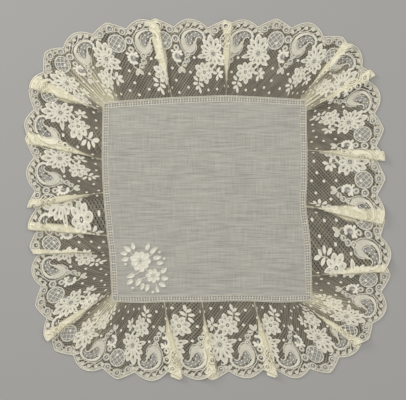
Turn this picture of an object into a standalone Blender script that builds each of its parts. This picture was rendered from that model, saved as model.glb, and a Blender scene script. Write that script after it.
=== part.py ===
"""A lace handkerchief laid flat.

A square of fine batiste is framed by four mitred lengths of ladder insertion.
One length of scalloped lace, joined into a ring, is gathered on round them.
The lace is longer than the edge that it is sewn to, so it folds over itself in places.
Sizes are in millimetres, and each mesh is scaled to metres when it is made.
"""

import math
from bisect import bisect_right
from collections import namedtuple

import bmesh
import bpy
from mathutils import Vector

METRES_PER_MILLIMETRE = 0.001

# Thickness of the cloths, and the gaps between pieces and between folded layers.
CLOTH_THICKNESS = 1.0
HEM_THICKNESS = 1.3
HEM_WIDTH = 2.5
PIECE_GAP = 0.3
LAYER_PITCH = 1.5

# Ladder insertion, mitred at the corners.
INSERTION_WIDTH = 5.6
SIDE_STEPS = 24

# Lace edging. Each repeat of its pattern has two scallops along the outer edge, the first one
# pointed and the second one round, with columns of points at these shares of their halves.
PATTERN_REPEATS = 23
SCALLOPS_PER_REPEAT = 2
SCALLOP_DEPTH = 0.105
SCALLOP_POWERS = (1.15, 1.9)
SCALLOP_SHAPES = ((-1.0, -0.5, 0.0, 0.5), (-1.0, -0.62, -0.2, 0.2, 0.62))
FIRST_SCALLOP = 28.9

# Rows across the lace, from the heading (0) to the outer edge (1).
LACE_ROWS = (0.0, 0.14, 0.42, 0.72, 1.0)
# How fast a fold opens from the heading, and the part of it that the heading takes up.
FOLD_TAPER = 1.6
HEADING_SHARE = 0.25
# Unfolded length from a layer's end to the turn, the start of the top layer and its ramp.
TURN_LENGTH = 1.2
TOP_LAYER_LEAD = 1.5
RAMP_LENGTH = 7.0
# The rows at which the layers of a fold stand as a wall and lie flat on each other.
WALL_ROW = 0.14
FLAT_ROW = 0.42
RIDGE_HEIGHT = 1.3
COLUMN_SPACING = 1.5

# One row for each fold, ridge or plain stretch, clockwise from the upper left corner.
# Heading and outer points are where its line leaves the insertion and meets the edge.
# A fold's sharp upper edge faces clockwise or counter-clockwise along the lace.
Section = namedtuple("Section", "name heading_x heading_y outer_x outer_y width form")
SECTIONS = (
    Section("top_left_ridge", -99.9, 100.4, -148.5, 166.9, 8.0, "ridge"),
    Section("top_left", -86.4, 101.5, -114.4, 181.4, 0.0, "plain"),
    Section("top_fold_1", -36.7, 104.8, -56.9, 187.1, 10.8, "clockwise"),
    Section("top_middle", -7.8, 105.9, -18.1, 187.1, 0.0, "plain"),
    Section("top_fold_2", 19.1, 106.9, 21.2, 185.6, 9.2, "clockwise"),
    Section("top_scallops", 52.3, 105.4, 66.8, 187.6, 0.0, "plain"),
    Section("top_right", 81.2, 103.8, 108.2, 182.5, 0.0, "plain"),
    Section("top_right_fold_1", 94.7, 103.1, 147.5, 163.8, 8.2, "counter"),
    Section("top_right_corner", 101.5, 102.9, 162.0, 149.4, 8.0, "corner"),
    Section("top_right_fold_2", 101.9, 91.4, 172.3, 131.8, 9.3, "counter"),
    Section("right_top", 101.9, 75.9, 181.1, 96.6, 0.0, "plain"),
    Section("right_fold_1", 102.5, 51.0, 183.7, 44.8, 10.6, "clockwise"),
    Section("right_middle", 102.3, 20.0, 184.7, 11.7, 0.0, "plain"),
    Section("right_fold_2", 101.4, -6.9, 183.7, -19.4, 14.4, "clockwise"),
    Section("right_scallops", 105.6, -42.1, 189.9, -47.3, 0.0, "plain"),
    Section("right_fold_3", 107.1, -79.4, 189.9, -71.1, 7.2, "clockwise"),
    Section("right_bottom", 107.4, -92.8, 187.9, -101.1, 0.0, "plain"),
    Section("bottom_right_corner", 107.5, -104.2, 179.6, -129.1, 8.0, "corner"),
    Section("bottom_right_fold", 94.5, -105.4, 159.9, -151.8, 9.3, "clockwise"),
    Section("bottom_right", 83.0, -105.8, 132.0, -177.7, 0.0, "plain"),
    Section("bottom_scallops", 69.9, -105.8, 96.8, -185.0, 0.0, "plain"),
    Section("bottom_fold_1", 48.1, -104.8, 67.8, -184.4, 11.2, "counter"),
    Section("bottom_middle", 21.2, -104.6, 37.8, -185.5, 0.0, "plain"),
    Section("bottom_fold_2", -5.7, -105.5, 5.7, -187.5, 10.2, "counter"),
    Section("bottom_fold_3", -45.0, -105.5, -31.6, -186.5, 12.4, "counter"),
    Section("bottom_left", -67.8, -106.3, -61.6, -188.1, 0.0, "plain"),
    Section("bottom_left_scallop", -85.4, -105.8, -108.2, -183.9, 0.0, "plain"),
    Section("bottom_left_corner", -98.2, -104.8, -146.5, -166.3, 8.0, "corner"),
    Section("bottom_left_fold", -98.8, -94.9, -168.2, -143.6, 10.3, "counter"),
    Section("left_bottom", -99.4, -79.4, -179.1, -107.3, 0.0, "plain"),
    Section("left_fold_1", -100.9, -54.5, -183.7, -54.5, 5.2, "counter"),
    Section("left_fold_2", -103.0, -38.0, -185.8, -27.6, 8.3, "counter"),
    Section("left_fold_3", -107.1, 7.6, -186.8, -4.9, 8.3, "counter"),
    Section("left_fold_4", -108.5, 40.7, -188.9, 64.5, 10.9, "counter"),
    Section("left_top", -108.2, 69.7, -189.4, 85.2, 0.0, "plain"),
    Section("top_left_fold", -107.8, 90.4, -182.7, 122.4, 14.5, "counter"),
    Section("top_left_corner", -107.5, 99.8, -166.1, 155.6, 8.0, "corner"),
)

# Columns of a fold from its centre: where it lies along the unfolded lace as a share of the
# fold's width, plus a length, and its height in layers as a wall and laid flat.
FoldColumn = namedtuple("FoldColumn", "widths length wall_layers flat_layers")
FOLD_COLUMNS = (
    FoldColumn(-1.5, -TOP_LAYER_LEAD - RAMP_LENGTH, 0.0, 0.0),
    FoldColumn(-1.5, -TOP_LAYER_LEAD - RAMP_LENGTH / 2, 1.0, 1.0),
    FoldColumn(-1.5, -TOP_LAYER_LEAD, 2.0, 2.0),
    FoldColumn(-0.5, -TURN_LENGTH, 2.0, 2.0),
    FoldColumn(-0.5, 0.0, 1.7, 1.5),
    FoldColumn(-0.5, TURN_LENGTH, 1.3, 1.0),
    FoldColumn(0.5, -TURN_LENGTH, 0.7, 1.0),
    FoldColumn(0.5, 0.0, 0.3, 0.5),
    FoldColumn(0.5, TURN_LENGTH, 0.0, 0.0),
)

BATISTE_COLOUR = (0.80, 0.79, 0.75)
INSERTION_COLOUR = (0.80, 0.76, 0.66)
LACE_COLOUR = (0.76, 0.72, 0.60)
CLOTH_ROUGHNESS = 0.85


class Track:
    """A closed chain of (place, value) knots, read with straight lines between them."""

    def __init__(self, knots, place_round, value_round):
        before = [(place - place_round, value - value_round) for place, value in knots]
        after = [(place + place_round, value + value_round) for place, value in knots]
        chain = before + list(knots) + after
        self.places = [place for place, value in chain]
        self.values = [value for place, value in chain]

    def at(self, place):
        after = min(max(bisect_right(self.places, place), 1), len(self.places) - 1)
        before = after - 1
        span = self.places[after] - self.places[before]
        share = (place - self.places[before]) / span
        return self.values[before] + share * (self.values[after] - self.values[before])


def smooth_point(points, index, share, corner_indices=()):
    """A point on a smooth closed curve that turns sharply only at the corner points."""
    count = len(points)

    def slope(at, other):
        previous = points[(at - 1) % count]
        here = points[at % count]
        following = points[(at + 1) % count]
        if at % count in corner_indices:
            neighbour = points[other % count]
            return (neighbour - here) * (1 if other > at else -1) / (neighbour - here).length
        reach = (here - previous).length + (following - here).length
        return (following - previous) / reach

    start = points[index % count]
    end = points[(index + 1) % count]
    length = (end - start).length
    cubed = share ** 3
    squared = share ** 2
    return (
        start * (2 * cubed - 3 * squared + 1)
        + slope(index, index + 1) * length * (cubed - 2 * squared + share)
        + end * (3 * squared - 2 * cubed)
        + slope(index + 1, index) * length * (cubed - squared)
    )


class LacePlan:
    """Where each point of the unfolded lace lies once it is gathered and folded."""

    steps = 10

    def __init__(self):
        headings = [Vector((row.heading_x, row.heading_y)) for row in SECTIONS]
        outers = [Vector((row.outer_x, row.outer_y)) for row in SECTIONS]
        corners = [index for index, row in enumerate(SECTIONS) if row.form == "corner"]
        self.heading_points = []
        outer_points = []
        for index in range(len(SECTIONS)):
            for step in range(self.steps):
                share = step / self.steps
                self.heading_points.append(smooth_point(headings, index, share, corners))
                outer_points.append(smooth_point(outers, index, share))
        lengths = [0.0]
        for index, point in enumerate(outer_points):
            following = outer_points[(index + 1) % len(outer_points)]
            lengths.append(lengths[-1] + (following - point).length)
        self.edge_length = lengths.pop()
        self.tracks = [
            Track(list(zip(lengths, (point[axis] for point in points))), self.edge_length, 0.0)
            for points in (self.heading_points, outer_points)
            for axis in (0, 1)
        ]
        section_places = lengths[:: self.steps]
        self.folds = []
        hidden_length = 0.0
        folded_knots = []
        gathered_knots = []
        self.ridges = []
        for row, place in zip(SECTIONS, section_places):
            if row.form in ("clockwise", "counter"):
                centre = place + row.width + hidden_length
                hidden_length += 2 * row.width
                facing = 1 if row.form == "clockwise" else -1
                self.folds.append((centre, row.width, facing))
                folded_knots.append((centre - row.width / 2, place + row.width / 2))
                folded_knots.append((centre + row.width / 2, place - row.width / 2))
                reach = 1.5 * row.width
                gathered_knots.append((centre - reach, place - reach * HEADING_SHARE))
                gathered_knots.append((centre + reach, place + reach * HEADING_SHARE))
            elif row.form in ("ridge", "corner"):
                self.ridges.append((place + hidden_length, row.width))
        self.strip_length = self.edge_length + hidden_length
        self.folded = Track(folded_knots, self.strip_length, self.edge_length)
        self.gathered = Track(gathered_knots, self.strip_length, self.edge_length)

    def place(self, along, across):
        """Distance along the outer edge at which a point of the unfolded lace lies."""
        opening = 1 - (1 - across) ** FOLD_TAPER
        return (1 - opening) * self.gathered.at(along) + opening * self.folded.at(along)

    def spot(self, place, across):
        heading_x, heading_y, outer_x, outer_y = (track.at(place) for track in self.tracks)
        heading = Vector((heading_x, heading_y))
        outer = Vector((outer_x, outer_y))
        return heading.lerp(outer, across)

    def layers(self, along, across):
        """Height of a point of the lace above the surface, counted in layers."""
        flatness = min(max((across - WALL_ROW) / (FLAT_ROW - WALL_ROW), 0.0), 1.0)
        rise = min(across / WALL_ROW, 1.0)
        for centre, width, facing in self.folds:
            offset = (along - centre + self.strip_length / 2) % self.strip_length
            offset = (offset - self.strip_length / 2) * facing
            knots = [(knot.widths * width + knot.length, knot) for knot in FOLD_COLUMNS]
            if knots[0][0] <= offset <= knots[-1][0]:
                for (start, before), (end, after) in zip(knots, knots[1:]):
                    if offset <= end:
                        share = (offset - start) / (end - start)
                        wall = before.wall_layers + share * (after.wall_layers - before.wall_layers)
                        flat = before.flat_layers + share * (after.flat_layers - before.flat_layers)
                        return rise * (wall + flatness * (flat - wall))
        for centre, width in self.ridges:
            offset = (along - centre + self.strip_length / 2) % self.strip_length
            share = 1 - abs(offset - self.strip_length / 2) / (width / 2)
            if share > 0:
                return rise * share * (1 - across) * RIDGE_HEIGHT / LAYER_PITCH
        return 0.0

    def edge_row(self, along):
        """Row of the scalloped edge at a place along the unfolded lace."""
        scallop_length = self.strip_length / (PATTERN_REPEATS * SCALLOPS_PER_REPEAT)
        scallop, share = divmod((along - FIRST_SCALLOP) / scallop_length, 1.0)
        power = SCALLOP_POWERS[int(scallop) % SCALLOPS_PER_REPEAT]
        return 1 - SCALLOP_DEPTH * abs(2 * share - 1) ** power

    def columns(self):
        """Places along the unfolded lace at which the mesh has a column of points."""
        kept = []
        for centre, width, facing in self.folds:
            kept += [centre + facing * (knot.widths * width + knot.length) for knot in FOLD_COLUMNS]
        for centre, width in self.ridges:
            kept += [centre - width / 2, centre, centre + width / 2]
        kept = sorted(place % self.strip_length for place in kept)
        scallop_length = self.strip_length / (PATTERN_REPEATS * SCALLOPS_PER_REPEAT)
        places = list(kept)
        for scallop in range(PATTERN_REPEATS * SCALLOPS_PER_REPEAT):
            for share in SCALLOP_SHAPES[scallop % SCALLOPS_PER_REPEAT]:
                place = FIRST_SCALLOP + scallop_length * (scallop + (share + 1) / 2)
                place %= self.strip_length
                half = self.strip_length / 2
                gap = min(half - abs(abs(place - other) - half) for other in kept)
                if gap > COLUMN_SPACING:
                    places.append(place)
        return sorted(places)


def cloth_material(name, colour):
    material = bpy.data.materials.new(name)
    material.use_nodes = True
    shader = material.node_tree.nodes["Principled BSDF"]
    shader.inputs["Base Color"].default_value = (*colour, 1.0)
    shader.inputs["Roughness"].default_value = CLOTH_ROUGHNESS
    shader.inputs["Metallic"].default_value = 0.0
    return material


def add_object(name, work_mesh, material):
    """Turn a mesh made in millimetres into an object in metres."""
    bmesh.ops.recalc_face_normals(work_mesh, faces=work_mesh.faces)
    bmesh.ops.scale(work_mesh, vec=[METRES_PER_MILLIMETRE] * 3, verts=work_mesh.verts)
    mesh = bpy.data.meshes.new(name)
    work_mesh.to_mesh(mesh)
    work_mesh.free()
    mesh.materials.append(material)
    piece = bpy.data.objects.new(name, mesh)
    bpy.context.scene.collection.objects.link(piece)
    return piece


def layer_offsets(row_points, directions):
    """Half a thickness square to the cloth at each point of a row that runs up and down."""
    offsets = []
    count = len(row_points)
    for index, point in enumerate(row_points):
        along = directions[index]
        normals = []
        for start, end in ((row_points[index - 1], point), (point, row_points[(index + 1) % count])):
            step = end - start
            run = step.x * along.x + step.y * along.y
            normals.append(Vector((-step.z, run)).normalized())
        joint = (normals[0] + normals[1]) / max(1 + normals[0].dot(normals[1]), 0.3)
        joint *= CLOTH_THICKNESS / 2
        offsets.append(Vector((along.x * joint.x, along.y * joint.x, joint.y)))
    return offsets


def build_lace(plan, material):
    """Roll a flat grid into the lace: its first rows run over the top, its last ones below."""
    columns = plan.columns()
    upper_rows = []
    lower_rows = []
    for across in LACE_ROWS:
        points = []
        directions = []
        for along in columns:
            row = plan.edge_row(along) if across == LACE_ROWS[-1] else across
            place = plan.place(along, row)
            spot = plan.spot(place, row)
            ahead = plan.spot(place + 1.0, row) - plan.spot(place - 1.0, row)
            directions.append(ahead.normalized())
            height = CLOTH_THICKNESS / 2 + LAYER_PITCH * plan.layers(along, row)
            points.append(Vector((spot.x, spot.y, height)))
        offsets = layer_offsets(points, directions)
        upper_rows.append([point + offset for point, offset in zip(points, offsets)])
        lower_rows.append([point - offset for point, offset in zip(points, offsets)])
    rows = upper_rows + lower_rows[::-1]

    work_mesh = bmesh.new()
    rings = []
    for points in rows:
        ring = [work_mesh.verts.new(point) for point in points]
        rings.append(ring)
    for ring, following in zip(rings, rings[1:] + rings[:1]):
        for index in range(len(columns)):
            after = (index + 1) % len(columns)
            corners = (ring[index], ring[after], following[after], following[index])
            work_mesh.faces.new(corners)
    bmesh.ops.triangulate(work_mesh, faces=work_mesh.faces, quad_method="SHORT_EDGE")
    return add_object("lace_edging", work_mesh, material)


class Frame:
    """The four sides of the heading line, and lines drawn inside them with mitred corners."""

    names = ("top", "right", "bottom", "left")

    def __init__(self, plan):
        corner_rows = [index for index, row in enumerate(SECTIONS) if row.form == "corner"]
        corner_rows = corner_rows[-1:] + corner_rows[:-1]
        starts = [index * plan.steps for index in corner_rows]
        points = plan.heading_points
        self.sides = []
        for start, end in zip(starts, starts[1:] + starts[:1]):
            count = (end - start) % len(points)
            chain = [points[(start + step) % len(points)] for step in range(count + 1)]
            self.sides.append(chain)

    def side_line(self, side, inset, end_gap, steps):
        """Points along one side, drawn in from the heading line and cut on the mitres."""
        chain = self.sides[side]
        lengths = [0.0]
        for start, end in zip(chain, chain[1:]):
            lengths.append(lengths[-1] + (end - start).length)
        trims = []
        for here, other, end_step, other_step in (
            (chain, self.sides[side - 1][::-1], 4, 4),
            (chain[::-1], self.sides[(side + 1) % 4], 4, 4),
        ):
            first = (here[end_step] - here[0]).normalized()
            second = (other[other_step] - other[0]).normalized()
            half_angle = math.acos(first.dot(second)) / 2
            trims.append(inset / math.tan(half_angle) + end_gap)
        line = []
        for step in range(steps + 1):
            distance = trims[0] + (lengths[-1] - sum(trims)) * step / steps
            index = min(bisect_right(lengths, distance), len(chain) - 1)
            along = (chain[index] - chain[index - 1]).normalized()
            share = (distance - lengths[index - 1]) / (lengths[index] - lengths[index - 1])
            point = chain[index - 1].lerp(chain[index], share)
            inward = Vector((along.y, -along.x))
            line.append(point + inward * inset)
        return line


def build_insertion(frame, side, material):
    outer = frame.side_line(side, PIECE_GAP, PIECE_GAP, SIDE_STEPS)
    inner = frame.side_line(side, PIECE_GAP + INSERTION_WIDTH, PIECE_GAP, SIDE_STEPS)
    work_mesh = bmesh.new()
    outline = [work_mesh.verts.new((*point, 0.0)) for point in outer + inner[::-1]]
    base = work_mesh.faces.new(outline)
    raised = bmesh.ops.extrude_face_region(work_mesh, geom=[base])
    tops = [item for item in raised["geom"] if isinstance(item, bmesh.types.BMVert)]
    bmesh.ops.translate(work_mesh, vec=(0.0, 0.0, CLOTH_THICKNESS), verts=tops)
    return add_object(f"insertion_{frame.names[side]}", work_mesh, material)


def build_centre(frame, material):
    """The batiste square. Its rolled hem stands a little higher than the cloth."""
    inset = PIECE_GAP + INSERTION_WIDTH + PIECE_GAP
    outline = []
    for side in range(len(frame.names)):
        outline += frame.side_line(side, inset, 0.0, SIDE_STEPS)[1:]
    work_mesh = bmesh.new()
    base = work_mesh.faces.new([work_mesh.verts.new((*point, 0.0)) for point in outline])
    raised = bmesh.ops.extrude_face_region(work_mesh, geom=[base])
    tops = [item for item in raised["geom"] if isinstance(item, bmesh.types.BMVert)]
    bmesh.ops.translate(work_mesh, vec=(0.0, 0.0, HEM_THICKNESS), verts=tops)
    top_face = next(item for item in raised["geom"] if isinstance(item, bmesh.types.BMFace))
    drop = HEM_THICKNESS - CLOTH_THICKNESS
    bmesh.ops.inset_region(work_mesh, faces=[top_face], thickness=HEM_WIDTH, depth=0.0)
    bmesh.ops.inset_region(work_mesh, faces=[top_face], thickness=drop, depth=0.0)
    bmesh.ops.translate(work_mesh, vec=(0.0, 0.0, -drop), verts=top_face.verts)
    return add_object("centre_cloth", work_mesh, material)


def centre_on_origin(pieces):
    """Move the whole handkerchief so that its outline is centred on the origin."""
    corners = [vertex.co for piece in pieces for vertex in piece.data.vertices]
    middle_x = (min(corner.x for corner in corners) + max(corner.x for corner in corners)) / 2
    middle_y = (min(corner.y for corner in corners) + max(corner.y for corner in corners)) / 2
    for piece in pieces:
        piece.location = (-middle_x, -middle_y, 0.0)


def main():
    for item in list(bpy.data.objects):
        bpy.data.objects.remove(item, do_unlink=True)
    plan = LacePlan()
    frame = Frame(plan)
    batiste = cloth_material("batiste", BATISTE_COLOUR)
    insertion = cloth_material("insertion", INSERTION_COLOUR)
    lace = cloth_material("lace", LACE_COLOUR)
    pieces = [build_lace(plan, lace), build_centre(frame, batiste)]
    for side in range(len(frame.names)):
        pieces.append(build_insertion(frame, side, insertion))
    centre_on_origin(pieces)


main()
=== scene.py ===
import math
from bisect import bisect_right
from collections import namedtuple

import bmesh
import bpy
import numpy as np
from mathutils import Matrix, Vector


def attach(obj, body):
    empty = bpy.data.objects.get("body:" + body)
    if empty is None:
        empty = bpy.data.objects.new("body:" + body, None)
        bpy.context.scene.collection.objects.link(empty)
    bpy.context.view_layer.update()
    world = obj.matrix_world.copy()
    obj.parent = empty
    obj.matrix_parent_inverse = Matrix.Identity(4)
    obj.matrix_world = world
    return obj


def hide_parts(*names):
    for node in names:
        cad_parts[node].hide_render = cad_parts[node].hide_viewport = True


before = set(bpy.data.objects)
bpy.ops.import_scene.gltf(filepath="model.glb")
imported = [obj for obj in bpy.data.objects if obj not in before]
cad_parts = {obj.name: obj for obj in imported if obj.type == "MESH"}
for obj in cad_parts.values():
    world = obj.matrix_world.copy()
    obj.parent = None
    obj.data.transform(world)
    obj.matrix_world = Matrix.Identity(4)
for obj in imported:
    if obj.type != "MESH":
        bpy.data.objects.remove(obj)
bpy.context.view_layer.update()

# The batiste square. Fine plain-woven linen or cotton, cut square and a little pulled out of
# true by the lace, with a narrow rolled hem that the insertion is whipped to.
MM = 0.001
CENTRING = Vector((-0.332, 0.145))
INSERTION_WIDTH = 5.6
PIECE_GAP = 0.3
BATISTE_REST = 0.75
BATISTE_RIPPLE = 0.16
BATISTE_STEPS = 60
HEM_WIDTH = 0.9
HEM_REACH = 0.8
HEM_HEIGHT = 0.5
HEM_STEPS = 80
CUT_EDGE_INSET = 0.5
BATISTE_COLOUR = (0.58, 0.555, 0.49, 1.0)
BATISTE_SHADE = (0.355, 0.34, 0.30, 1.0)
BATISTE_COVER = 0.86
PressedFold = namedtuple("PressedFold", "axis place width share")
pressed_folds = (PressedFold(0, -4.0, 1.6, 1.0), PressedFold(1, 3.0, 1.8, 0.7))

# A row for each fold, ridge or plain stretch of the lace, clockwise from the upper left corner,
# in millimetres: where its line leaves the insertion, where it meets the outer edge, how wide
# it is, and its form. The form of a fold is the way that its sharp upper edge faces.
LayLine = namedtuple("LayLine", "heading_x heading_y outer_x outer_y width form")
lay_lines = (
    # Along the top.
    LayLine(-99.9, 100.4, -148.5, 166.9, 8.0, "ridge"),
    LayLine(-86.4, 101.5, -114.4, 181.4, 0.0, "plain"),
    LayLine(-36.7, 104.8, -56.9, 187.1, 10.8, "clockwise"),
    LayLine(-7.8, 105.9, -18.1, 187.1, 0.0, "plain"),
    LayLine(19.1, 106.9, 21.2, 185.6, 9.2, "clockwise"),
    LayLine(52.3, 105.4, 66.8, 187.6, 0.0, "plain"),
    LayLine(81.2, 103.8, 108.2, 182.5, 0.0, "plain"),
    # Round the upper right corner.
    LayLine(94.7, 103.1, 147.5, 163.8, 8.2, "counter"),
    LayLine(101.5, 102.9, 162.0, 149.4, 8.0, "corner"),
    LayLine(101.9, 91.4, 172.3, 131.8, 9.3, "counter"),
    # Down the right side.
    LayLine(101.9, 75.9, 181.1, 96.6, 0.0, "plain"),
    LayLine(102.5, 51.0, 183.7, 44.8, 10.6, "clockwise"),
    LayLine(102.3, 20.0, 184.7, 11.7, 0.0, "plain"),
    LayLine(101.4, -6.9, 183.7, -19.4, 14.4, "clockwise"),
    LayLine(105.6, -42.1, 189.9, -47.3, 0.0, "plain"),
    LayLine(107.1, -79.4, 189.9, -71.1, 7.2, "clockwise"),
    LayLine(107.4, -92.8, 187.9, -101.1, 0.0, "plain"),
    # Round the lower right corner.
    LayLine(107.5, -104.2, 179.6, -129.1, 8.0, "corner"),
    LayLine(94.5, -105.4, 159.9, -151.8, 9.3, "clockwise"),
    # Along the bottom.
    LayLine(83.0, -105.8, 132.0, -177.7, 0.0, "plain"),
    LayLine(69.9, -105.8, 96.8, -185.0, 0.0, "plain"),
    LayLine(48.1, -104.8, 67.8, -184.4, 11.2, "counter"),
    LayLine(21.2, -104.6, 37.8, -185.5, 0.0, "plain"),
    LayLine(-5.7, -105.5, 5.7, -187.5, 10.2, "counter"),
    LayLine(-45.0, -105.5, -31.6, -186.5, 12.4, "counter"),
    LayLine(-67.8, -106.3, -61.6, -188.1, 0.0, "plain"),
    LayLine(-85.4, -105.8, -108.2, -183.9, 0.0, "plain"),
    # Round the lower left corner.
    LayLine(-98.2, -104.8, -146.5, -166.3, 8.0, "corner"),
    LayLine(-98.8, -94.9, -168.2, -143.6, 10.3, "counter"),
    # Up the left side.
    LayLine(-99.4, -79.4, -179.1, -107.3, 0.0, "plain"),
    LayLine(-100.9, -54.5, -183.7, -54.5, 5.2, "counter"),
    LayLine(-103.0, -38.0, -185.8, -27.6, 8.3, "counter"),
    LayLine(-107.1, 7.6, -186.8, -4.9, 8.3, "counter"),
    LayLine(-108.5, 40.7, -188.9, 64.5, 10.9, "counter"),
    LayLine(-108.2, 69.7, -189.4, 85.2, 0.0, "plain"),
    # Round the upper left corner.
    LayLine(-107.8, 90.4, -182.7, 122.4, 14.5, "counter"),
    LayLine(-107.5, 99.8, -166.1, 155.6, 8.0, "corner"),
)
LINE_STEPS = 10
MITRE_STEPS = 4
corner_lines = [index for index, line in enumerate(lay_lines) if line.form == "corner"]


def smooth_line(points, corners):
    """A closed line through the points that turns sharply only at the corners."""
    count = len(points)
    line = []

    def slope(at, other):
        previous = points[(at - 1) % count]
        here = points[at % count]
        following = points[(at + 1) % count]
        if at % count in corners:
            neighbour = points[other % count]
            return (neighbour - here) * (1 if other > at else -1) / (neighbour - here).length
        return (following - previous) / ((here - previous).length + (following - here).length)

    for index in range(count):
        start = points[index]
        end = points[(index + 1) % count]
        length = (end - start).length
        for step in range(LINE_STEPS):
            share = step / LINE_STEPS
            cubed = share ** 3
            squared = share ** 2
            line.append(
                start * (2 * cubed - 3 * squared + 1)
                + slope(index, index + 1) * length * (cubed - 2 * squared + share)
                + end * (3 * squared - 2 * cubed)
                + slope(index + 1, index) * length * (cubed - squared)
            )
    return line


heading_points = [Vector((line.heading_x, line.heading_y)) + CENTRING for line in lay_lines]
outer_points = [Vector((line.outer_x, line.outer_y)) + CENTRING for line in lay_lines]
heading_line = smooth_line(heading_points, corner_lines)
outer_line = smooth_line(outer_points, ())
side_names = ("top", "right", "bottom", "left")
side_starts = [index * LINE_STEPS for index in corner_lines[-1:] + corner_lines[:-1]]
side_chains = []
for start, end in zip(side_starts, side_starts[1:] + side_starts[:1]):
    count = (end - start) % len(heading_line)
    side_chains.append([heading_line[(start + step) % len(heading_line)] for step in range(count + 1)])


def side_line(side, inset, end_gap, steps):
    """Points along one side, drawn in from the heading line and cut on the mitres."""
    chain = side_chains[side]
    lengths = [0.0]
    for start, end in zip(chain, chain[1:]):
        lengths.append(lengths[-1] + (end - start).length)
    trims = []
    for here, other in (
        (chain, side_chains[side - 1][::-1]),
        (chain[::-1], side_chains[(side + 1) % 4]),
    ):
        first = (here[MITRE_STEPS] - here[0]).normalized()
        second = (other[MITRE_STEPS] - other[0]).normalized()
        trims.append(inset / math.tan(math.acos(first.dot(second)) / 2) + end_gap)
    line = []
    for step in range(steps + 1):
        distance = trims[0] + (lengths[-1] - sum(trims)) * step / steps
        index = min(bisect_right(lengths, distance), len(chain) - 1)
        along = (chain[index] - chain[index - 1]).normalized()
        share = (distance - lengths[index - 1]) / (lengths[index] - lengths[index - 1])
        inward = Vector((along.y, -along.x))
        line.append(chain[index - 1].lerp(chain[index], share) + inward * inset)
    return line


def finish_piece(name, work_mesh, material, replaced):
    """A mesh in metres becomes a piece that rides with the handkerchief."""
    bmesh.ops.recalc_face_normals(work_mesh, faces=work_mesh.faces)
    mesh = bpy.data.meshes.new(name)
    work_mesh.to_mesh(mesh)
    work_mesh.free()
    mesh.materials.append(material)
    mesh.shade_smooth()
    piece = bpy.data.objects.new(name, mesh)
    bpy.context.scene.collection.objects.link(piece)
    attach(piece, "root")
    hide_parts(*replaced)
    return piece


def rolled_cord(work_mesh, points, half_width, half_height, sides=4, closed=False, beads=0.0):
    """A flattened cord: a flat grid rolled round a line of points given as (x, y, z).

    The half width is one size, or one for each point.
    """
    half_widths = list(half_width) if isinstance(half_width, (list, tuple)) else None
    if half_widths is None:
        half_widths = [half_width] * (len(points) + 1)
    count = len(points) if closed else len(points) - 1
    made = bmesh.ops.create_grid(work_mesh, x_segments=count, y_segments=sides, size=1.0)["verts"]
    path = [Vector(point) for point in points]
    if closed:
        path.append(path[0])
    normals = []
    for index in range(len(path)):
        before = path[index - 1] if index else (path[-2] if closed else path[0])
        after = path[index + 1] if index < len(path) - 1 else (path[1] if closed else path[-1])
        along = (after - before).normalized()
        normals.append(Vector((-along.y, along.x, 0.0)).normalized())
    for vertex in made:
        index = round((vertex.co.x + 1) / 2 * count)
        turn = round((vertex.co.y + 1) / 2 * sides) / sides * 2 * math.pi
        swell = 1.0 + (beads if index % 2 else -beads)
        side = normals[index] * (math.cos(turn) * half_widths[index] * swell)
        rise = Vector((0.0, 0.0, math.sin(turn) * half_height * swell))
        vertex.co = path[index] + side + rise
    bmesh.ops.remove_doubles(work_mesh, verts=made, dist=min(min(half_widths), half_height) * 0.02)


def scale_to_metres(work_mesh):
    bmesh.ops.scale(work_mesh, vec=(MM, MM, MM), verts=work_mesh.verts)


def feed(tree, socket, value):
    """Link a socket to another one, or give it a plain value."""
    if isinstance(value, bpy.types.NodeSocket):
        tree.links.new(value, socket)
    else:
        socket.default_value = value


def math_node(tree, operation, *values):
    node = tree.nodes.new("ShaderNodeMath")
    node.operation = operation
    for socket, value in zip(node.inputs, values):
        feed(tree, socket, value)
    return node.outputs[0]


def map_range(tree, value, source, target=(0.0, 1.0)):
    node = tree.nodes.new("ShaderNodeMapRange")
    names = ("Value", "From Min", "From Max", "To Min", "To Max")
    for name, limit in zip(names, (value, *source, *target)):
        feed(tree, node.inputs[name], limit)
    return node.outputs[0]


def mix_colours(tree, factor, first, second):
    node = tree.nodes.new("ShaderNodeMix")
    node.data_type = "RGBA"
    for name, value in (("Factor", factor), ("A", first), ("B", second)):
        feed(tree, node.inputs[name], value)
    return node.outputs["Result"]


SLUB_WIDTHS = (0.0009, 0.0011)
SLUB_SHIFT = 3.7
SECOND_WAY_SHARE = 0.66
SLUB_CONTRAST = (0.36, 0.64)


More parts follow.
